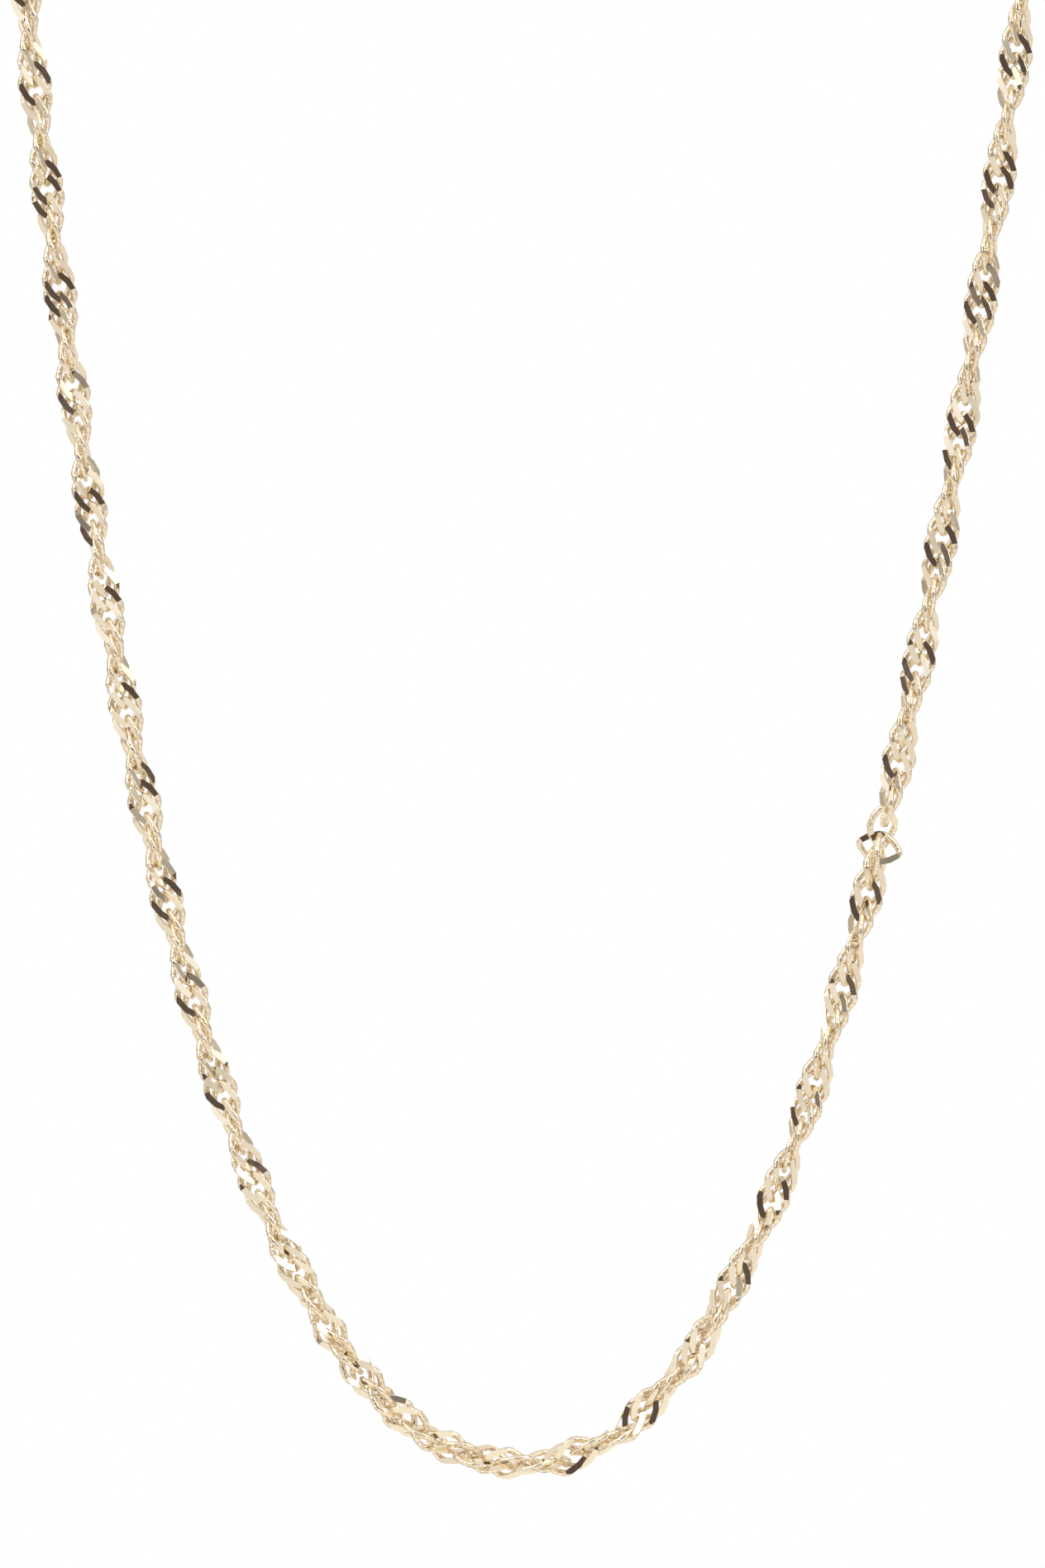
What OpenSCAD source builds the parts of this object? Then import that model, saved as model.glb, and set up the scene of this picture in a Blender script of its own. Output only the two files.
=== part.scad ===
// Twisted chain necklace, hanging as a closed loop from the point under its clasp.
// Units are millimetres, +Z is up, +X runs across the loop and -Y is the front.
// The origin is the point at the top middle where the loop rests on what holds it.

/* [Chain] */
// Width of the chain over its widest links
chain_w = 2.1; // [1.6:0.1:2.4]
// Sides of the tube that takes the place of the chain's fine links
tube_sides = 8; // [8:1:12]

/* [Hanging loop] */
// Radius of the bend at the lowest point
bend_r = 10; // [8:0.1:16]
// Length of each strand, from the lowest point up to the round top
strand_len = 171; // [150:1:200]

/* [Clasp] */
// Outer diameter of the clasp's ring
clasp_d = 6.0; // [5:0.1:7]
// Thickness of the clasp's ring
clasp_wire = 1.2; // [0.9:0.1:1.3]
// Outer diameter of the eye that holds the chain's first link
eye_d = 2.8; // [2.6:0.1:3.4]
// Thickness of the eye
eye_wire = 0.6; // [0.5:0.05:0.7]
// Length of the thumb knob on the clasp's rim
knob_len = 1.0; // [0.6:0.1:1.4]
// Thickness of the thumb knob
knob_d = 0.7; // [0.5:0.1:0.9]

/* [End ring] */
// Outer diameter of the ring that the clasp closes on
ring_d = 3.6; // [3.4:0.1:4.6]
// Thickness of the end ring
ring_wire = 0.6; // [0.5:0.05:0.7]

/* [Hidden] */
$fn = 48;

gold = [0.86, 0.73, 0.48];
pale_gold = [0.88, 0.77, 0.55];

// Clear space between pieces that touch on the real necklace
piece_gap = 0.1;
// Clear space between the tube and the ring or eye beside it
tube_gap = 0.15;
// How deep the eye and the knob are soldered into the clasp's rim
solder_depth = 0.35;
// The knob stands this far round the rim from the eye, in degrees
knob_turn = 125;

// Tube rings: close together round the lower bend, and further apart on the rest
bend_span = 16;
bend_pitch = 2 * chain_w;
strand_pitch = 3 * chain_w;

// The chain doesn't hang quite evenly: each row is [length from the lowest point,
// shift of the centreline towards the inside of the loop], with left lengths negative
sway = [
    [-150, 0], [-95, -0.25], [-75, -0.15], [-45, 0.1], [-18, 0.4], [-6, 0],
    [2, 0], [18, 0.85], [34, 0.95], [46, 0.8], [60, 0.5], [95, -0.4], [150, 0]
];

// Centreline radii of the three round pieces
clasp_r = (clasp_d - clasp_wire) / 2;
eye_r = (eye_d - eye_wire) / 2;
ring_r = (ring_d - ring_wire) / 2;

// Places along X, measured from the clasp's centre
eye_x = -(clasp_d + eye_d) / 2 + solder_depth;
ring_x = clasp_r - clasp_wire / 2 - ring_wire / 2 - piece_gap + ring_r;
left_end = -eye_x + eye_d / 2 + tube_gap;
right_end = ring_x + ring_d / 2 + tube_gap;

// Half the length between the tube's two ends, with the clasp set so that they match
tail = (left_end + right_end) / 2;
clasp_x = (left_end - right_end) / 2;
// The end ring stands upright and touches what holds the loop
clasp_z = ring_d / 2;

// The round top takes over where a strand ends, in the strand's own direction
lean = atan(bend_r / strand_len);
arch_r = hang_x(strand_len) / cos(lean);
arch_centre_h = hang_h(strand_len) + arch_r * sin(lean);
tail_turn = asin(tail / arch_r);
half_len = strand_len + arch_r * (90 + lean - tail_turn) * PI / 180;
// Height of the lowest point of the centreline
low_z = clasp_z - arch_centre_h - arch_r * cos(tail_turn);

// A strand hangs in a catenary: its place at length s from the lowest point
function hang_x(s) = bend_r * ln(s / bend_r + sqrt(1 + pow(s / bend_r, 2)));
function hang_h(s) = sqrt(pow(bend_r, 2) + pow(s, 2)) - bend_r;

// Turn round the top, in degrees above the level of its centre, at length s
function arch_turn(s) = (s - strand_len) / arch_r * 180 / PI - lean;

// Place [across, up] on the right-hand half of the loop, for s from 0 to half_len
function right_half(s) =
    s < strand_len
        ? [hang_x(s), hang_h(s)]
        : [arch_r * cos(arch_turn(s)), arch_centre_h + arch_r * sin(arch_turn(s))];

// Direction of travel at s, in degrees from +X towards +Z
function right_heading(s) =
    s < strand_len
        ? atan(s / bend_r)
        : 90 + arch_turn(s);

// The whole loop: s is negative on the left-hand half
function loop_heading(s) = s < 0 ? -right_heading(-s) : right_heading(s);
function loop_place(s) =
    let (p = right_half(abs(s)), h = loop_heading(s))
    [s < 0 ? -p[0] : p[0], 0, low_z + p[1]] + lookup(s, sway) * [-sin(h), 0, cos(h)];

// One ring of the tube at s, square to the route
function tube_ring(s) =
    let (c = loop_place(s), h = loop_heading(s))
    [for (k = [0 : tube_sides - 1])
        let (u = 360 * k / tube_sides)
        c + chain_w / 2 * [-sin(h) * cos(u), sin(u), cos(h) * cos(u)]];

// Lengths at which the tube has its rings
bend_steps = floor(bend_span / bend_pitch);
bend_end = bend_steps * bend_pitch;
strand_steps = ceil((half_len - bend_end) / strand_pitch);
strand_step = (half_len - bend_end) / strand_steps;
left_stops = [for (i = [strand_steps : -1 : 1]) -bend_end - i * strand_step];
bend_stops = [for (i = [-bend_steps : bend_steps]) i * bend_pitch];
right_stops = [for (i = [1 : strand_steps]) bend_end + i * strand_step];
stops = concat(left_stops, bend_stops, right_stops);

// Corner k of ring i in the list of points
function corner(i, k) = i * tube_sides + k % tube_sides;

module chain() {
    last = len(stops) - 1;
    points = [for (s = stops) each tube_ring(s)];
    walls = [
        for (i = [0 : last - 1], k = [0 : tube_sides - 1])
            each [
                [corner(i, k), corner(i, k + 1), corner(i + 1, k + 1)],
                [corner(i, k), corner(i + 1, k + 1), corner(i + 1, k)]
            ]
    ];
    first_cap = [for (k = [tube_sides - 1 : -1 : 0]) corner(0, k)];
    last_cap = [for (k = [0 : tube_sides - 1]) corner(last, k)];
    color(gold)
        polyhedron(points = points, faces = concat(walls, [first_cap, last_cap]), convexity = 4);
}

// A round ring lying flat about the origin
module wire_ring(radius, wire) {
    rotate_extrude()
        translate([radius, 0])
            circle(d = wire);
}

// Round clasp with its eye and thumb knob, soldered into one piece, lying flat
module clasp() {
    color(pale_gold)
        translate([clasp_x, 0, clasp_z]) {
            wire_ring(clasp_r, clasp_wire);
            translate([eye_x, 0, 0])
                wire_ring(eye_r, eye_wire);
            rotate([0, 0, 180 - knob_turn])
                translate([clasp_d / 2 - solder_depth, 0, 0])
                    rotate([0, 90, 0])
                        cylinder(h = knob_len, d = knob_d);
        }
}

// Upright ring through the clasp, on the chain's other end
module end_ring() {
    color(pale_gold)
        translate([clasp_x + ring_x, 0, clasp_z])
            rotate([90, 0, 0])
                wire_ring(ring_r, ring_wire);
}

chain();
clasp();
end_ring();
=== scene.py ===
"""Looks of a twisted chain necklace: every link of the chain, the gold finishes and a plain white stage.

The loop hangs in the plane of X and Z. A length along it is measured from its lowest point and is negative
on the left.
"""

import math

import bpy
import numpy as np
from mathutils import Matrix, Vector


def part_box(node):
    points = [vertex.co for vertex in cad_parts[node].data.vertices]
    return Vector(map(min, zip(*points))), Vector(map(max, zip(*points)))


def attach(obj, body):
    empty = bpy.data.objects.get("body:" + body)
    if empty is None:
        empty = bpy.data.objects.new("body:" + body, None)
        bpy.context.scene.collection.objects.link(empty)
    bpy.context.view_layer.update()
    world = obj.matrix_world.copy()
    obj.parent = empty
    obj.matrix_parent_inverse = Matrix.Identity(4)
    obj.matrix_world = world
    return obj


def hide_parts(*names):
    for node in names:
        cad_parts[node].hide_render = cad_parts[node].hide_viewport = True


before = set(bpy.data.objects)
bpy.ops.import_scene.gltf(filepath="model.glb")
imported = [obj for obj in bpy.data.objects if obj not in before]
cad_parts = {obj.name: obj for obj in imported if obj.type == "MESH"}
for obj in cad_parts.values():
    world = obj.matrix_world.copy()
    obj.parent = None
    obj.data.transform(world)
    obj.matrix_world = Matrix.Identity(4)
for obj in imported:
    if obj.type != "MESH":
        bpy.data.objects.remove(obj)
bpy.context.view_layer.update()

bl_info = {
    "name": "Twisted Chain Necklace",
    "version": (1, 0, 0),
    "blender": (4, 5, 0),
    "location": "3D View > Sidebar > Necklace",
    "description": "Builds the links, the gold finishes and the plain stage of a twisted chain necklace",
    "category": "Add Mesh",
}

MM = 0.001
CHAIN_LOW, CHAIN_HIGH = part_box("chain")
RING_LOW, RING_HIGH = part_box("end_ring")
CHAIN_WIDTH = CHAIN_HIGH.y - CHAIN_LOW.y
# Height of the chain's centreline at its lowest point
LOWEST = CHAIN_LOW.z + CHAIN_WIDTH / 2
# Height of the picture in its own pixels
PHOTO_HEIGHT = 1896
WHITE = (1, 1, 1)

# The chain doesn't hang quite evenly. Each row, in mm: length from the lowest point, and how far the
# centreline is shifted towards the inside of the loop
SWAY = (
    (-150, 0), (-95, -0.25), (-75, -0.15), (-45, 0.1), (-18, 0.4), (-6, 0),
    (2, 0), (18, 0.85), (34, 0.95), (46, 0.8), (60, 0.5), (95, -0.4), (150, 0),
)

# How far the ribbon has turned. Each row: length from the lowest point in mm, and half turns, of which a
# whole number is edge-on from the front
TURNS = (
    (-223.2, -20.5), (-96, 0), (-58, 6), (-22.3, 12), (-16.5, 13), (-3.3, 17), (0.5, 18), (5.5, 19),
    (10.9, 20), (15.3, 21), (20.9, 22), (27.4, 23), (40.4, 25), (43.3, 25.5), (45.6, 26), (48.5, 27),
    (54.6, 28), (61.3, 29), (68.5, 30), (76.2, 31), (91.1, 33), (223.2, 52),
)

# Links that hang crooked in a kink. Each row: length from the lowest point; shifts up the chain, inwards and
# to the back, all in mm; turns about the chain, about its inward normal and in the plane of the loop, in
# degrees
CROOKED = (
    (45.6, -0.08, 0.04, 0, 2, -1, -4),
    (46.8, -0.71, -0.04, 0.35, 16, -2, 91),
    (47.6, -0.32, 0.05, 0.1, -12, -22, -14),
)

# Sections round half of a link, in degrees: both corners and, on the limbs between, both ends and the middle
STATIONS = (0, 14, 45, 76, 90, 104, 135, 166)
# Middles of the four limbs, in degrees
LIMB_MIDDLES = (45, 135, 225, 315)
# How sharply a limb rises to its height at a link's corners
LIFT_SHARPNESS = 2
# How much a cut rocks along its limb, as a share of how much it rolls about the limb
ROCK_SHARE = 0.25
# Cosine of a cut's half angle round the wire: -0.3 is about 107 degrees, for the deepest cut, and the
# shallowest one has 20 degrees
DEEPEST_CUT, SHALLOWEST_CUT = -0.3, math.cos(math.radians(20))
# Limbs that are cut on the front and on the back, and the side of a section that lies in each of these cuts
FRONT_LIMBS, BACK_LIMBS = (0, 2), (1, 3)
FRONT_SIDE, BACK_SIDE = 0, 3
# Share of each strand, from the lowest point up, on which the pairs keep their pitch
EVEN_SHARE = 0.5
# How far along the loop the end of the chain is searched for, in strand lengths
SEARCH_END = 1.5
# Steps in which lengths along the chain are searched and added up
GRID_STEPS = 4000
# Seed of the links' small turns and shifts and of their cuts' directions, chosen from many so that cuts turn
# dark where the photo's do
SEED = 46934

# Distance of the tool marks along the wire, as coarse as they show in the photo
STROKE_PITCH = 0.39 * MM
# How many of the marks start round the wire, which slants them
STROKE_STARTS = 1
# Sine of a mark's wave at which the mark has its full height, while at minus that it has none
STROKE_EDGE = 0.8
# Roughness of a metal's low and high parts, against its own
LOW_ROUGHNESS, HIGH_ROUGHNESS = 1.5, 0.8

# Radii of the pale floor's rings in metres, and how many points each ring has
FLOOR_RINGS, FLOOR_SPOKES = (0.15, 0.3, 0.6, 1.5), 64
# From and to how far out the floor fades into plain light, in metres
FADE_START, FADE_END = 0.05, 0.3

# Area lights: name, place from the middle of the loop and side length in metres, power in watts
SOFTBOXES = (
    ("left_softbox", (-0.9, -0.5, 0.9), 1.2, 6.3),
    ("right_softbox", (0.9, -0.4, 0.7), 1.0, 4.1),
    ("low_softbox", (0.1, -0.8, -0.9), 0.7, 1.8),
)

# Width of the camera's sensor in mm, from which the lens is worked out
SENSOR_WIDTH = 36

# Sockets of a Mix node that mixes colours
MIX_SHARE, MIX_BELOW, MIX_OVER, MIX_RESULT = 0, 6, 7, 2


def linear(hex_colour):
    """Linear RGB of an sRGB hex colour."""
    srgb = [int(hex_colour[i:i + 2], 16) / 255 for i in (0, 2, 4)]
    return tuple(c / 12.92 if c <= 0.04045 else ((c + 0.055) / 1.055) ** 2.4 for c in srgb)


def sine(degrees):
    """Sine of an angle in degrees."""
    return math.sin(math.radians(degrees))


# Half the width and height of the dark oval round the camera, in degrees
OVAL_WIDTH, OVAL_HEIGHT = 42, 32

# Soft edges in what the cuts mirror: name, what is measured, where the mask is 1 and where it is 0. A
# direction is measured by its part to the back, its part up or down and its part to either side, each a sine,
# and by how far out in the oval it is, 1 being the oval's edge
EDGES = (
    ("front", "back", -0.1, 0.0),
    ("low", "rise", sine(28), sine(40)),
    ("oval", "oval", 0.9, 1.1),
    ("panel_start", "side", sine(46), sine(42)),
    ("panel_end", "side", sine(58), sine(62)),
    ("gap_start", "side", sine(62), sine(58)),
    ("gap_end", "side", sine(76), sine(80)),
)

# Masks that are the product of two others: name and the two
PRODUCTS = (
    ("middle", "oval", "front"),
    ("panel_sides", "panel_start", "panel_end"),
    ("panel_band", "panel_sides", "low"),
    ("panel", "panel_band", "front"),
    ("gap_sides", "gap_start", "gap_end"),
    ("gap_band", "gap_sides", "low"),
    ("gap", "gap_band", "depth"),
)
# How deep the gaps are behind the loop, as a share of their depth in front
BACK_SHARE = 0.5
# Blue of the lamp panels against their red and green
PANEL_BLUE = 1.06


class ChainSizes(bpy.types.PropertyGroup):
    """Sizes of the links and of how they hang."""

    bend_radius: bpy.props.FloatProperty(
        name="Bend Radius", description="Radius of the hanging curve at its lowest point",
        default=10 * MM, min=8 * MM, max=16 * MM, unit="LENGTH")
    strand_length: bpy.props.FloatProperty(
        name="Strand Length", description="Length of each strand, from the lowest point up to the round top",
        default=171 * MM, min=150 * MM, max=200 * MM, unit="LENGTH")
    wire: bpy.props.FloatProperty(
        name="Wire", description="Thickness of a link's wire before it is cut",
        default=0.4 * MM, min=0.3 * MM, max=0.5 * MM, unit="LENGTH")
    link_length: bpy.props.FloatProperty(
        name="Link Length", description="Length of a link over its wire",
        default=2.9 * MM, min=2.4 * MM, max=3.2 * MM, unit="LENGTH")
    straightness: bpy.props.FloatProperty(
        name="Straightness", description="Shape of a link: near 0 an ellipse, near 1 four straight limbs",
        default=0.86, min=0.1, max=0.98, subtype="FACTOR")
    limb_lift: bpy.props.FloatProperty(
        name="Limb Lift", description="How far a limb stands out of the link's middle plane",
        default=0.13 * MM, min=0, max=0.25 * MM, unit="LENGTH")
    pair_pitch: bpy.props.FloatProperty(
        name="Pair Pitch", description="Length of chain that each pair of links takes up",
        default=1.996 * MM, min=1.8 * MM, max=2.2 * MM, unit="LENGTH")
    pair_start: bpy.props.FloatProperty(
        name="Pair Start", description="Where the pair nearest to the lowest point has its middle",
        default=-0.706 * MM, min=-1.1 * MM, max=1.1 * MM, unit="LENGTH")
    near_share: bpy.props.FloatProperty(
        name="Near Share", description="Share of the pitch that lies between the two links of a pair",
        default=0.43, min=0.3, max=0.5, subtype="FACTOR")
    cut_height: bpy.props.FloatProperty(
        name="Cut Height", description="Height of the flat cuts over the link's middle plane",
        default=0.2 * MM, min=0.05 * MM, max=0.3 * MM, unit="LENGTH")
    cut_roll: bpy.props.FloatProperty(
        name="Cut Roll", description="How much the flat cuts vary in direction",
        default=math.radians(7), min=0, max=math.radians(15), subtype="ANGLE")
    link_tilt: bpy.props.FloatProperty(
        name="Link Tilt", description="How much the links vary in direction",
        default=math.radians(1.5), min=0, max=math.radians(10), subtype="ANGLE")
    slack_reach: bpy.props.FloatProperty(
        name="Slack Reach", description="How far from the lowest point the links lie slack",
        default=22 * MM, min=5 * MM, max=50 * MM, unit="LENGTH")
    slack_pairs: bpy.props.IntProperty(
        name="Slack Pairs", description="How many more pairs lie in the slack stretch than at the pitch",
        default=2, min=0, max=3)
    slack_tilt: bpy.props.FloatProperty(
        name="Slack Tilt", description="How much slack links vary in direction",
        default=math.radians(5), min=0, max=math.radians(15), subtype="ANGLE")
    slack_turn: bpy.props.FloatProperty(
        name="Slack Turn", description="How much slack links are turned about the chain",
        default=math.radians(8), min=0, max=math.radians(30), subtype="ANGLE")
    slack_shift: bpy.props.FloatProperty(
        name="Slack Shift", description="How much slack links vary in place",
        default=0.06 * MM, min=0, max=0.2 * MM, unit="LENGTH")


def hang_route(s, sizes):
    """Centre, direction of travel and inward normal of the chain at lengths s.

    Each strand is a catenary of radius a, x = a asinh(s / a) and z = sqrt(a a + s s) - a. From strand_length
    on, the round top is an arc that goes on in the strand's own direction. SWAY then shifts each place along
    the normal.
    """
    a, end = sizes.bend_radius, sizes.strand_length
    side, run = np.sign(s), np.abs(s)
    lean = math.atan(a / end)
    arch_r = a * math.asinh(end / a) / math.cos(lean)
    arch_z = math.hypot(a, end) - a + arch_r * math.sin(lean)
    turn = (run - end) / arch_r - lean
    arch = run > end
    x = side * np.where(arch, arch_r * np.cos(turn), a * np.arcsinh(run / a))
    z = np.where(arch, arch_z + arch_r * np.sin(turn), np.hypot(a, run) - a)
    heading = side * np.where(arch, np.pi / 2 + turn, np.arctan(run / a))
    level = np.zeros_like(s)
    travel = np.stack((np.cos(heading), level, np.sin(heading)), 1)
    inward = np.stack((-np.sin(heading), level, np.cos(heading)), 1)
    rows = np.array(SWAY)
    shift = np.interp(s, rows[:, 0] * MM, rows[:, 1] * MM)
    return np.stack((x, level, LOWEST + z), 1) + shift[:, None] * inward, travel, inward


def slack_share(s, sizes):
    """How slack the links lie at lengths s: exp(-(s / slack_reach)^4), which is 1 at the lowest point."""
    return np.exp(-(s / sizes.slack_reach) ** 4)


def link_places(sizes):
    """Length along the loop of each link's middle.

    The links come in pairs, near_share of the pitch apart. Up to EVEN_SHARE of each strand the pairs keep the
    pitch, and slack_pairs more of them are crowded in at the bend, in the share slack_share. Further up they
    are spread evenly, so that the first and the last link reach the clasp's eye and the end ring.
    """
    grid = np.linspace(sizes.strand_length, SEARCH_END * sizes.strand_length, GRID_STEPS)
    places = hang_route(grid, sizes)[0]
    ring_wire = RING_HIGH.y - RING_LOW.y
    reach = RING_HIGH.x - ring_wire + sizes.link_length / 2 - sizes.wire
    last = grid[np.abs(places[:, 0] - reach).argmin()] - sizes.near_share * sizes.pair_pitch / 2
    steps = int(EVEN_SHARE * sizes.strand_length / sizes.pair_pitch)
    even = sizes.pair_start + sizes.pair_pitch * np.array((-steps, steps))
    low = np.linspace(*even, GRID_STEPS)
    crowd = np.cumsum(slack_share(low, sizes))
    count = np.linspace(-steps, steps, GRID_STEPS) + sizes.slack_pairs * crowd / crowd[-1]
    left, right = np.round(np.array((even[0] + last, last - even[1])) / sizes.pair_pitch)
    first, final = -steps - left, steps + sizes.slack_pairs + right
    middle = np.interp(np.arange(first, final + 1), (first, *count, final), (-last, *low, last))
    near = sizes.near_share * np.gradient(middle)
    return (middle[:, None] + near[:, None] * np.array((-0.5, 0.5))[None, :]).ravel()


def turned(vectors, about, angle):
    """Vectors v turned about a unit vector k by angle a: v cos a + (k x v) sin a + k (k . v) (1 - cos a)."""
    across, along = np.cross(about, vectors), np.outer(vectors @ about, about)
    return vectors * math.cos(angle) + across * math.sin(angle) + along * (1 - math.cos(angle))


def link_axes(s, sizes, draw):
    """Middle of each link and its axes: across the ribbon, along the chain and out of the ribbon's face.

    The ribbon turns about the chain by pi for each half turn of TURNS, as a right-handed screw, and each link
    also has a small turn of its own about each axis. These turns grow towards the lowest point, where the
    links lie slack and shift a little too, in the share slack_share. Last, the links nearest to the lengths
    in CROOKED are shifted and turned by its rows.
    """
    centre, travel, inward = hang_route(s, sizes)
    rows = np.array(TURNS)
    phase = np.pi * np.interp(s, rows[:, 0] * MM, rows[:, 1])[:, None]
    side = np.array(((0.0, 1.0, 0.0),))
    across = np.cos(phase) * side + np.sin(phase) * inward
    out = np.cross(across, travel)
    axes = np.stack((across, travel, out), 1)
    slack = slack_share(s, sizes)
    loose = np.array((sizes.slack_tilt, sizes.slack_turn, sizes.slack_tilt))[:, None]
    turn = draw.normal(0, sizes.link_tilt + (loose - sizes.link_tilt) * slack, (3, len(s)))
    shift = draw.normal(0, sizes.slack_shift, (2, len(s), 1)) * slack[:, None]
    centre += shift[0] * inward + shift[1] * side
    for axis, angle in enumerate(turn):
        one, two = axes[:, (axis + 1) % 3].copy(), axes[:, (axis + 2) % 3].copy()
        c, k = np.cos(angle)[:, None], np.sin(angle)[:, None]
        axes[:, (axis + 1) % 3] = c * one + k * two
        axes[:, (axis + 2) % 3] = c * two - k * one
    for place, up, inside, back, *turns in CROOKED:
        i = np.abs(s - place * MM).argmin()
        centre[i] += MM * (up * travel[i] + inside * inward[i] + back * side[0])
        for about, angle in zip((travel[i], inward[i], side[0]), turns):
            axes[i] = turned(axes[i], about, math.radians(angle))
    return centre, axes


def link_line(sizes):
    """Centreline of one link: middle, sideways and upward axis of each section, and the limbs' middles.

    The four limbs are almost straight: x = b asin(m sin theta) / asin(m) and y = a asin(m cos theta) /
    asin(m), m being the straightness. They stand out of the middle plane in turn, by z = lift
    tanh(k sin 2 theta) / tanh(k), k being LIFT_SHARPNESS, so that a flat cut meets each along its length.
    """
    theta = np.radians(np.add.outer((0, 180), STATIONS)).ravel()
    a, b, m = (sizes.link_length - sizes.wire) / 2, (CHAIN_WIDTH - sizes.wire) / 2, sizes.straightness

    def place(t):
        x = b * np.arcsin(m * np.sin(t)) / math.asin(m)
        y = a * np.arcsin(m * np.cos(t)) / math.asin(m)
        z = sizes.limb_lift * np.tanh(LIFT_SHARPNESS * np.sin(2 * t)) / math.tanh(LIFT_SHARPNESS)
        return np.stack((x, y, z), 1)

    step = 1e-4
    along = place(theta + step) - place(theta - step)
    along /= np.linalg.norm(along, axis=1)[:, None]
    up = np.array(((0.0, 0.0, 1.0),)) - along * along[:, 2:]
    up /= np.linalg.norm(up, axis=1)[:, None]
    return place(theta), np.cross(up, along), up, place(np.radians(LIMB_MIDDLES))


def link_sections(count, sizes, draw):
    """Points of every link in its own axes over link, ring and side, and their turn round the wire.

    A section is a circle of six points: the ends of a chord where the front cut crosses the wire, the ends of
    the back cut's chord, and one point on each arc between. A chord's half angle is acos(d / r), d being the
    distance from the wire's centre to the cut plane, held between 20 and 107 degrees. Each cut is rolled
    about its limb, and rocked along it, by angles of its own.
    """
    centre, side, up, limbs = link_line(sizes)
    r = sizes.wire / 2
    chords = []
    for face, cut_limbs in ((1, FRONT_LIMBS), (-1, BACK_LIMBS)):
        pivot = limbs[list(cut_limbs)] * (1, 1, 0) + (0, 0, face * sizes.cut_height)
        which = np.linalg.norm(centre[:, None, :2] - pivot[None, :, :2], axis=2).argmin(1)
        limb = pivot[:, :2] * (1, -1)
        limb /= np.linalg.norm(limb, axis=1)[:, None]
        roll = np.tan(draw.normal(0, sizes.cut_roll, (count, 2)))
        rock = np.tan(draw.normal(0, ROCK_SHARE * sizes.cut_roll, (count, 2)))
        nx = roll * limb[None, :, 1] + rock * limb[None, :, 0]
        ny = -roll * limb[None, :, 0] + rock * limb[None, :, 1]
        normal = np.stack((nx, ny, np.full_like(nx, face)), 2)
        normal /= np.linalg.norm(normal, axis=2)[:, :, None]
        normal, pivot = normal[:, which], pivot[which][None]
        distance = ((pivot - centre[None]) * normal).sum(2)
        on_side, on_up = (normal * side[None]).sum(2), (normal * up[None]).sum(2)
        reach = np.hypot(on_side, on_up)
        half = np.arccos(np.clip(distance / (reach * r), DEEPEST_CUT, SHALLOWEST_CUT))
        chords.append((np.arctan2(on_up, on_side) % (2 * np.pi), half))
    (front, front_half), (back, back_half) = chords
    first, second = front - front_half, front + front_half
    third, fourth = back - back_half, back + back_half
    last = first + 2 * np.pi
    turn = np.stack((first, second, (second + third) / 2, third, fourth, (fourth + last) / 2), 2)
    points = centre[None, :, None] + r * (
        np.cos(turn)[..., None] * side[None, :, None] + np.sin(turn)[..., None] * up[None, :, None])
    return points, turn


def grid_mesh(name, points, turn, materials, flat):
    """Mesh of many closed tubes: points over tube, ring and side.

    The quads marked in flat have the second material and no smoothing. The UV map's U runs once round each
    tube by its real length, and V once round the wire by the sections' turn.
    """
    tubes, rings, sides = points.shape[:3]
    index = np.arange(tubes * rings * sides).reshape(tubes, rings, sides)
    ahead, beside = np.roll(index, -1, 1), np.roll(index, -1, 2)
    quads = np.stack((index, beside, np.roll(ahead, -1, 2), ahead), 3).reshape(-1, 4)
    middle = points.mean(2)
    steps = np.linalg.norm(np.roll(middle, -1, 1) - middle, axis=2)
    after = np.cumsum(steps, 1) / steps.sum(1)[:, None]
    before = after - steps / steps.sum(1)[:, None]
    u = np.stack((before, before, after, after), 2)[:, :, None]
    u = np.broadcast_to(u, (tubes, rings, sides, 4))
    v_here = turn / (2 * np.pi)
    v_ahead = np.roll(v_here, -1, 1)
    wrap = np.array((0,) * (sides - 1) + (1,))
    v = np.stack((v_here, np.roll(v_here, -1, 2) + wrap, np.roll(v_ahead, -1, 2) + wrap, v_ahead), 3)
    mesh = bpy.data.meshes.new(name)
    mesh.vertices.add(index.size)
    mesh.vertices.foreach_set("co", points.astype(np.float32).ravel())
    mesh.loops.add(quads.size)
    mesh.loops.foreach_set("vertex_index", quads.astype(np.int32).ravel())
    mesh.polygons.add(len(quads))
    mesh.polygons.foreach_set("loop_start", np.arange(0, quads.size, 4, dtype=np.int32))
    mesh.polygons.foreach_set("material_index", flat.ravel().astype(np.int32))
    mesh.polygons.foreach_set("use_smooth", ~flat.ravel())
    wire_map = mesh.uv_layers.new(name="wire")
    wire_map.uv.foreach_set("vector", np.stack((u, v), 4).astype(np.float32).ravel())
    for material in materials:
        mesh.materials.append(material)
    mesh.update(calc_edges=True)
    mesh.validate()
    piece = bpy.data.objects.new(name, mesh)
    bpy.context.scene.collection.objects.link(piece)
    return piece


def add_node(tree, kind, at, values=None, links=None, **settings):
    """Adds a node with its own settings, the values of its inputs and the outputs that its inputs read."""
    node = tree.nodes.new(kind)
    node.location = at
    for name, value in settings.items():
        setattr(node, name, value)
    for key, value in (values or {}).items():
        node.inputs[key].default_value = value
    for key, source in (links or {}).items():
        tree.links.new(source, node.inputs[key])
    return node


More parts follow.
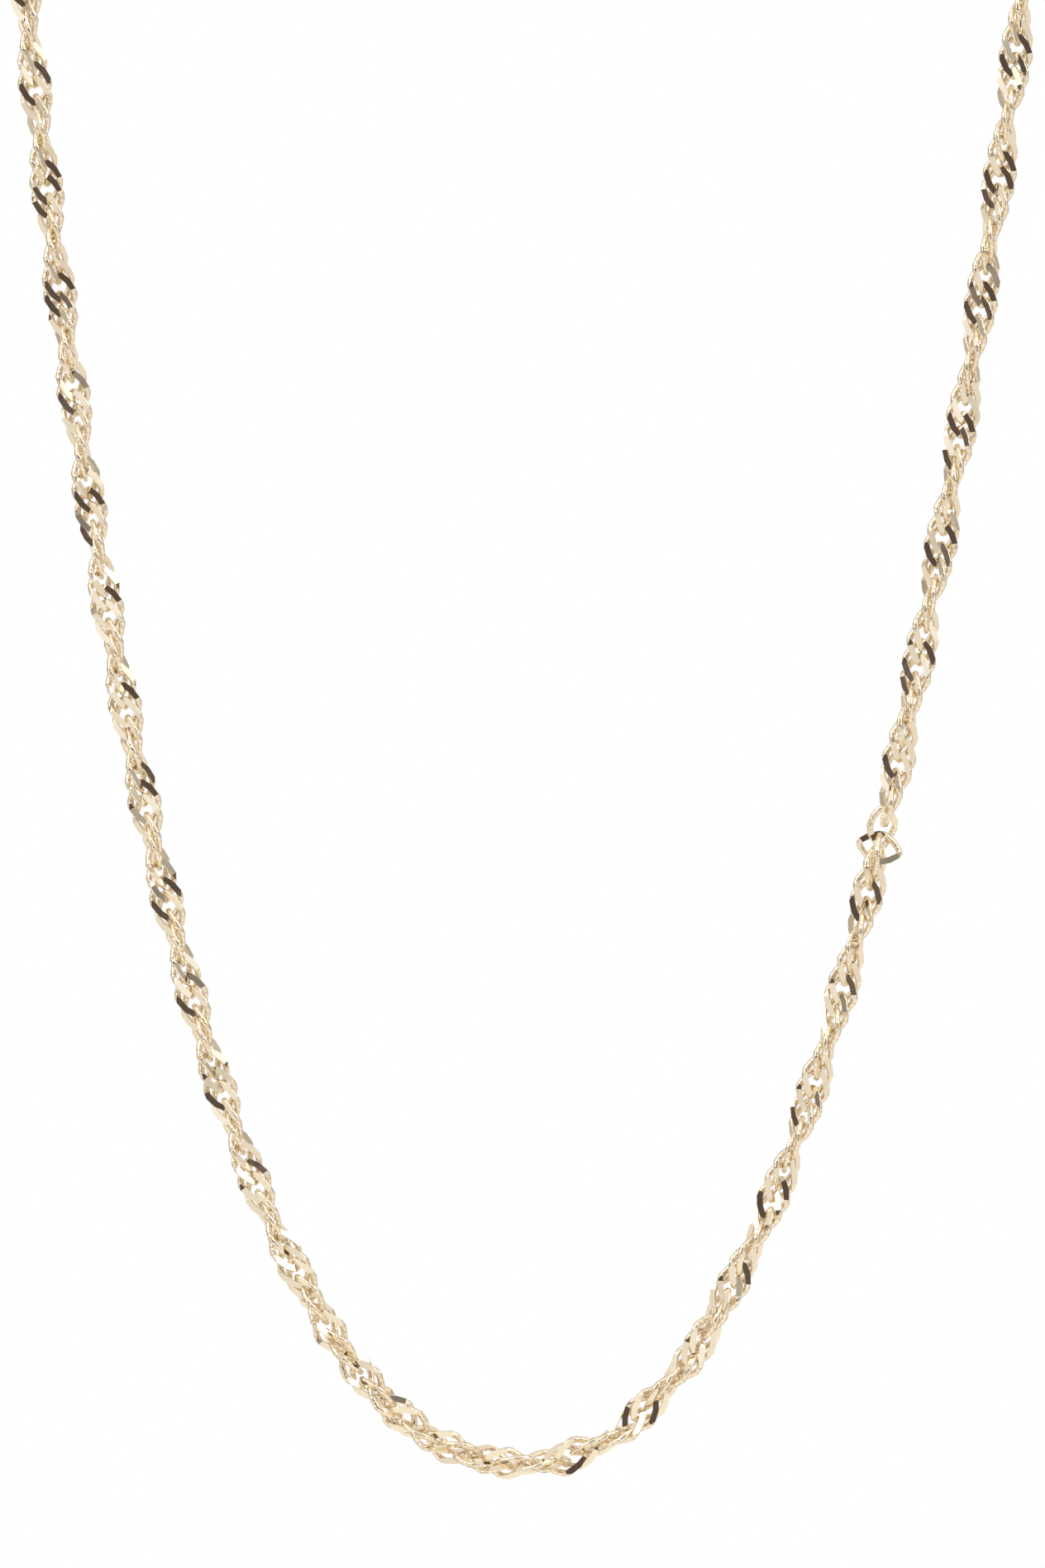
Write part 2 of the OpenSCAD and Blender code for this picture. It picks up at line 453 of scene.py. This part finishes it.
def gold_tree(name, colour, roughness, height, depth, painted_shade):
    """Metal whose height, from 0 to 1, is made by height(tree): low parts get painted shade, a darker colour,
    and are duller and set back.
    """
    material = bpy.data.materials.new(name)
    material.use_nodes = True
    tree = material.node_tree
    tree.nodes.clear()
    level = height(tree)
    # Colour of the low parts: the metal's own colour darkened as painted shade
    deep = [c * s for c, s in zip(colour, painted_shade)]
    tone = add_node(
        tree, "ShaderNodeMix", (-450, 150), {MIX_BELOW: (*deep, 1), MIX_OVER: (*colour, 1)},
        {MIX_SHARE: level}, data_type="RGBA")
    gloss = add_node(
        tree, "ShaderNodeMapRange", (-450, -100),
        {"To Min": LOW_ROUGHNESS * roughness, "To Max": HIGH_ROUGHNESS * roughness}, {"Value": level})
    relief = add_node(
        tree, "ShaderNodeBump", (-450, -350), {"Strength": 1.0, "Distance": depth}, {"Height": level})
    shader = add_node(
        tree, "ShaderNodeBsdfPrincipled", (-150, 0), {"Metallic": 1.0},
        {"Base Color": tone.outputs[MIX_RESULT], "Roughness": gloss.outputs["Result"],
         "Normal": relief.outputs["Normal"]})
    add_node(tree, "ShaderNodeOutputMaterial", (150, 0), links={"Surface": shader.outputs["BSDF"]})
    return material


def noise_height(tree, grain):
    """Fine noise on Object coordinates, with waves as long as grain."""
    place = add_node(tree, "ShaderNodeTexCoord", (-1100, 0))
    noise = add_node(
        tree, "ShaderNodeTexNoise", (-900, 0), {"Scale": 1 / grain, "Detail": 2.0},
        {"Vector": place.outputs["Object"]})
    return noise.outputs["Fac"]


def stroke_height(tree, strokes, grain, wander):
    """Slanted ridges on the wire: the sine of 2 pi (strokes U + STROKE_STARTS V), on the mesh's UV map.

    Noise of the given grain shifts them by 0 to wander, in radians, so that no two strokes are alike.
    """
    place = add_node(tree, "ShaderNodeUVMap", (-1700, 0), uv_map="wire")
    waves = (2 * math.pi * strokes, 2 * math.pi * STROKE_STARTS, 0)
    along = add_node(
        tree, "ShaderNodeVectorMath", (-1500, 0), {1: waves}, {0: place.outputs["UV"]},
        operation="DOT_PRODUCT")
    phase = add_node(
        tree, "ShaderNodeMath", (-1300, 0), {1: wander},
        {0: noise_height(tree, grain), 2: along.outputs["Value"]}, operation="MULTIPLY_ADD")
    wave = add_node(tree, "ShaderNodeMath", (-1100, 0), links={0: phase.outputs["Value"]}, operation="SINE")
    ridge = add_node(
        tree, "ShaderNodeMapRange", (-900, 0), {"From Min": -STROKE_EDGE, "From Max": STROKE_EDGE},
        {"Value": wave.outputs["Value"]}, interpolation_type="SMOOTHSTEP")
    return ridge.outputs["Result"]


class GoldColours(bpy.types.PropertyGroup):
    """Colours of the gold."""

    wire: bpy.props.FloatVectorProperty(
        name="Wire", description="Colour of the rounded, tumble-polished wire", subtype="COLOR",
        default=linear("FAEDD7"), min=0, max=1)
    cut: bpy.props.FloatVectorProperty(
        name="Cuts", description="Colour of the flat mirror cuts", subtype="COLOR",
        default=linear("F6EAD0"), min=0, max=1)


def wire_gold(colour, strokes):
    """Gold wire, drawn and then polished by tumbling, with slanted tool marks."""
    # The eye sees short bright strokes, which wander every 0.25 mm or so, with darker gold between them,
    # which is painted shade in the low parts of the marks
    return gold_tree(
        "tumbled_gold_wire", colour, roughness=0.22, depth=0.012 * MM, painted_shade=(0.92, 0.87, 0.74),
        height=lambda tree: stroke_height(tree, strokes, grain=0.25 * MM, wander=8))


def cut_gold(colour):
    """Gold cut flat with a diamond, with faint waves 0.4 mm long, drawn as coarse as they need to show."""
    # The eye sees flat mirrors that turn dark or white from link to link
    # The low parts of the faint waves get a slight painted shade
    return gold_tree(
        "diamond_cut_gold", colour, roughness=0.1, depth=0.0005 * MM, painted_shade=(0.96, 0.95, 0.93),
        height=lambda tree: noise_height(tree, grain=0.4 * MM))


def cast_gold(colour):
    """Cast gold polished on a wheel, with faint waves 0.6 mm long, drawn as coarse as they need to show."""
    # The eye sees a smoother and brighter gold than the wire's
    # The low parts of the faint waves get a slight painted shade
    return gold_tree(
        "polished_cast_gold", colour, roughness=0.12, depth=0.002 * MM, painted_shade=(0.94, 0.92, 0.9),
        height=lambda tree: noise_height(tree, grain=0.6 * MM))


class NECKLACE_OT_chain_links(bpy.types.Operator):
    """Builds every link of the chain in place of the plain tube"""

    bl_idname = "necklace.chain_links"
    bl_label = "Chain Links"

    def execute(self, context):
        sizes, colours = context.scene.necklace_chain, context.scene.necklace_gold
        draw = np.random.default_rng(SEED)
        s = link_places(sizes)
        centre, axes = link_axes(s, sizes, draw)
        local, turn = link_sections(len(s), sizes, draw)
        points = centre[:, None, None] + np.einsum("lrsi,lij->lrsj", local, axes)
        # The limb on which each quad round a link lies, and whether the quad is in a cut
        limb = np.arange(points.shape[1]) * len(LIMB_MIDDLES) // points.shape[1]
        flat = np.zeros(points.shape[:3], bool)
        flat[..., FRONT_SIDE] = np.isin(limb, FRONT_LIMBS)
        flat[..., BACK_SIDE] = np.isin(limb, BACK_LIMBS)
        line = link_line(sizes)[0]
        around = np.linalg.norm(np.roll(line, -1, 0) - line, axis=1).sum()
        materials = wire_gold(colours.wire, round(around / STROKE_PITCH)), cut_gold(colours.cut)
        piece = grid_mesh("chain_links", points, turn, materials, flat)
        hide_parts("chain")
        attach(piece, "root")
        return {"FINISHED"}


class NECKLACE_OT_clasp_finish(bpy.types.Operator):
    """Gives the clasp and the end ring their polished gold"""

    bl_idname = "necklace.clasp_finish"
    bl_label = "Clasp Finish"

    def execute(self, context):
        gold = cast_gold(context.scene.necklace_gold.wire)
        for node in ("clasp", "end_ring"):
            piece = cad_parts[node]
            piece.data.materials.clear()
            piece.data.materials.append(gold)
        return {"FINISHED"}


class StageSettings(bpy.types.PropertyGroup):
    """Camera and light."""

    camera_distance: bpy.props.FloatProperty(
        name="Camera Distance", description="From the camera to the plane of the loop",
        default=0.6, min=0.2, max=3, unit="LENGTH")
    pixel: bpy.props.FloatProperty(
        name="Pixel", description="Size of one pixel of the picture at the loop",
        default=0.05 * MM, min=0.02 * MM, max=0.1 * MM, precision=6, unit="LENGTH")
    lowest_row: bpy.props.IntProperty(
        name="Lowest Row", description="Row of the picture at which the chain's centreline is lowest",
        default=1771, min=0, max=PHOTO_HEIGHT)
    floor_drop: bpy.props.FloatProperty(
        name="Floor Drop", description="Clear height between the floor and the chain",
        default=50 * MM, min=1 * MM, max=1, unit="LENGTH")
    dark: bpy.props.FloatVectorProperty(
        name="Dark", description="What the cuts mirror from round the camera", subtype="COLOR",
        default=linear("5A4E4B"), min=0, max=1)
    walls: bpy.props.FloatVectorProperty(
        name="Walls", description="Pale walls round the stage", subtype="COLOR",
        default=linear("F2EFED"), min=0, max=1)
    lamp: bpy.props.FloatProperty(
        name="Lamp", description="Brightness of the two lamp panels beside the camera, against white",
        default=1.06, min=0, max=10)


class NECKLACE_OT_stage(bpy.types.Operator):
    """Adds the pale floor, the soft light and the camera"""

    bl_idname = "necklace.stage"
    bl_label = "Stage"

    def execute(self, context):
        stage = context.scene.necklace_stage
        add_floor(stage)
        add_surround(stage)
        add_softboxes()
        add_camera(stage)
        return {"FINISHED"}


def add_floor(stage):
    """A pale disc in polar coordinates, x = r cos(t) and y = r sin(t), closed by triangles in its middle."""
    turn = np.arange(FLOOR_SPOKES) * 2 * np.pi / FLOOR_SPOKES
    radius = np.array(FLOOR_RINGS)[:, None]
    height = CHAIN_LOW.z - stage.floor_drop
    index = np.arange(len(FLOOR_RINGS) * FLOOR_SPOKES).reshape(-1, FLOOR_SPOKES)
    level = np.full(index.shape, height)
    points = np.stack((radius * np.cos(turn), radius * np.sin(turn), level), 2).reshape(-1, 3)
    points = np.vstack((points, (0, 0, height)))
    beside = np.roll(index, -1, 1)
    quads = np.stack((index[:-1], index[1:], beside[1:], beside[:-1]), 2).reshape(-1, 4)
    fan = np.stack((np.full(FLOOR_SPOKES, index.size), index[0], beside[0]), 1)
    mesh = bpy.data.meshes.new("floor")
    mesh.from_pydata(points.tolist(), [], quads.tolist() + fan.tolist())
    mesh.materials.append(floor_paper(stage))
    floor = bpy.data.objects.new("floor", mesh)
    bpy.context.scene.collection.objects.link(floor)


def floor_paper(stage):
    """Dull white paper that fades into plain light away from the middle.

    The camera sees that light pure white, and the gold mirrors it in the colour of the walls.
    """
    # The eye sees a pale floor without an edge
    material = bpy.data.materials.new("white_paper_sweep")
    material.use_nodes = True
    tree = material.node_tree
    tree.nodes.clear()
    place = add_node(tree, "ShaderNodeTexCoord", (-900, 0))
    flat = add_node(
        tree, "ShaderNodeVectorMath", (-700, 0), {1: (1, 1, 0)}, {0: place.outputs["Object"]},
        operation="MULTIPLY")
    away = add_node(
        tree, "ShaderNodeVectorMath", (-500, 0), links={0: flat.outputs["Vector"]}, operation="LENGTH")
    fade = add_node(
        tree, "ShaderNodeMapRange", (-300, 0), {"From Min": FADE_START, "From Max": FADE_END},
        {"Value": away.outputs["Value"]}, interpolation_type="SMOOTHSTEP")
    paper = add_node(
        tree, "ShaderNodeBsdfPrincipled", (-300, 300),
        {"Base Color": (*linear("F4F3F0"), 1), "Roughness": 0.9})
    seen = add_node(tree, "ShaderNodeLightPath", (-700, -300))
    tone = add_node(
        tree, "ShaderNodeMix", (-500, -300), {MIX_BELOW: (*stage.walls, 1), MIX_OVER: (*WHITE, 1)},
        {MIX_SHARE: seen.outputs["Is Camera Ray"]}, data_type="RGBA")
    glow = add_node(
        tree, "ShaderNodeEmission", (-300, -300), {"Strength": 1.0}, {"Color": tone.outputs[MIX_RESULT]})
    blend = add_node(
        tree, "ShaderNodeMixShader", (0, 0),
        links={0: fade.outputs["Result"], 1: paper.outputs["BSDF"], 2: glow.outputs["Emission"]})
    add_node(tree, "ShaderNodeOutputMaterial", (200, 0), links={"Surface": blend.outputs["Shader"]})
    return material


def add_surround(stage):
    """Pale walls all round, with what the flat cuts mirror.

    Directions are compared by their sines: a dark oval round the camera, a tall lamp panel on each side of
    it, and a dark gap beyond each panel, less deep behind the loop. EDGES gives each edge as a smooth step,
    and PRODUCTS joins them. The camera itself sees plain white.
    """
    world = bpy.data.worlds.new("white_surround")
    bpy.context.scene.world = world
    world.use_nodes = True
    tree = world.node_tree
    tree.nodes.clear()
    place = add_node(tree, "ShaderNodeTexCoord", (-1900, 0))
    parts = add_node(tree, "ShaderNodeSeparateXYZ", (-1700, 0), links={0: place.outputs["Generated"]})
    flat = add_node(
        tree, "ShaderNodeVectorMath", (-1700, 300), {1: (1 / sine(OVAL_WIDTH), 0, 1 / sine(OVAL_HEIGHT))},
        {0: place.outputs["Generated"]}, operation="MULTIPLY")
    oval = add_node(
        tree, "ShaderNodeVectorMath", (-1500, 300), links={0: flat.outputs["Vector"]}, operation="LENGTH")
    side = add_node(
        tree, "ShaderNodeMath", (-1500, 0), links={0: parts.outputs["X"]}, operation="ABSOLUTE")
    rise = add_node(
        tree, "ShaderNodeMath", (-1500, -200), links={0: parts.outputs["Z"]}, operation="ABSOLUTE")
    measures = {
        "oval": oval.outputs["Value"], "side": side.outputs["Value"], "rise": rise.outputs["Value"],
        "back": parts.outputs["Y"]}
    masks = {}
    for row, (name, measure, full, none) in enumerate(EDGES):
        mask = add_node(
            tree, "ShaderNodeMapRange", (-1200, 400 - 200 * row), {"From Min": none, "From Max": full},
            {"Value": measures[measure]}, interpolation_type="SMOOTHSTEP")
        masks[name] = mask.outputs["Result"]
    depth = add_node(
        tree, "ShaderNodeMath", (-900, -1000), {1: 1 - BACK_SHARE, 2: BACK_SHARE}, {0: masks["front"]},
        operation="MULTIPLY_ADD")
    masks["depth"] = depth.outputs["Value"]
    for row, (name, one, two) in enumerate(PRODUCTS):
        product = add_node(
            tree, "ShaderNodeMath", (-900, 400 - 200 * row), links={0: masks[one], 1: masks[two]},
            operation="MULTIPLY")
        masks[name] = product.outputs["Value"]
    seen = add_node(tree, "ShaderNodeLightPath", (-900, 600))
    walls = add_node(tree, "ShaderNodeRGB", (-700, 600))
    walls.outputs[0].default_value = (*stage.walls, 1)
    tone = walls.outputs[0]
    layers = (
        (masks["middle"], stage.dark),
        (masks["panel"], (stage.lamp, stage.lamp, PANEL_BLUE * stage.lamp)),
        (masks["gap"], stage.dark),
        (seen.outputs["Is Camera Ray"], WHITE),
    )
    for column, (share, colour) in enumerate(layers):
        layer = add_node(
            tree, "ShaderNodeMix", (-600 + 180 * column, 200), {MIX_OVER: (*colour, 1)},
            {MIX_SHARE: share, MIX_BELOW: tone}, data_type="RGBA")
        tone = layer.outputs[MIX_RESULT]
    light = add_node(tree, "ShaderNodeBackground", (150, 0), {"Strength": 1.0}, {"Color": tone})
    add_node(tree, "ShaderNodeOutputWorld", (350, 0), links={"Surface": light.outputs["Background"]})


def add_softboxes():
    """Three large area lights: high on the left, high on the right and low in front."""
    middle = (CHAIN_LOW + CHAIN_HIGH) / 2
    for name, place, size, power in SOFTBOXES:
        data = bpy.data.lights.new(name, "AREA")
        data.shape, data.size, data.energy = "SQUARE", size, power
        lamp = bpy.data.objects.new(name, data)
        lamp.location = middle + type(middle)(place)
        lamp.rotation_euler = (middle - lamp.location).to_track_quat("-Z", "Y").to_euler()
        lamp.visible_camera = False
        bpy.context.scene.collection.objects.link(lamp)


def add_camera(stage):
    """Level camera in front of the loop, whose upright picture has the photo's scale and framing."""
    data = bpy.data.cameras.new("camera")
    data.sensor_width = SENSOR_WIDTH
    data.lens = SENSOR_WIDTH * stage.camera_distance / (PHOTO_HEIGHT * stage.pixel)
    camera = bpy.data.objects.new("camera", data)
    height = LOWEST + (stage.lowest_row - PHOTO_HEIGHT / 2) * stage.pixel
    camera.location = (0, -stage.camera_distance, height)
    camera.rotation_euler = (math.pi / 2, 0, 0)
    scene = bpy.context.scene
    scene.collection.objects.link(camera)
    scene.camera = camera
    scene.view_settings.view_transform = "Standard"


class NECKLACE_PT_panel(bpy.types.Panel):
    """Sizes, colours and steps of the necklace"""

    bl_label = "Twisted Chain Necklace"
    bl_idname = "NECKLACE_PT_panel"
    bl_space_type = "VIEW_3D"
    bl_region_type = "UI"
    bl_category = "Necklace"

    def draw(self, context):
        for group in GROUPS:
            settings = getattr(context.scene, group)
            box = self.layout.box()
            for name in settings.bl_rna.properties.keys():
                if name not in ("rna_type", "name"):
                    box.prop(settings, name)
        for step in STEPS:
            self.layout.operator(step.bl_idname)


GROUPS = {"necklace_chain": ChainSizes, "necklace_gold": GoldColours, "necklace_stage": StageSettings}
STEPS = (NECKLACE_OT_chain_links, NECKLACE_OT_clasp_finish, NECKLACE_OT_stage)


def register():
    """Adds the classes and the settings of the scene."""
    for cls in (*GROUPS.values(), *STEPS, NECKLACE_PT_panel):
        bpy.utils.register_class(cls)
    for name, group in GROUPS.items():
        setattr(bpy.types.Scene, name, bpy.props.PointerProperty(type=group))


def unregister():
    """Takes out the settings and the classes."""
    for name in GROUPS:
        delattr(bpy.types.Scene, name)
    for cls in reversed((*GROUPS.values(), *STEPS, NECKLACE_PT_panel)):
        bpy.utils.unregister_class(cls)


def main():
    """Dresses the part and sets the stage."""
    register()
    bpy.ops.necklace.chain_links()
    bpy.ops.necklace.clasp_finish()
    bpy.ops.necklace.stage()


if __name__ == "__main__":
    main()
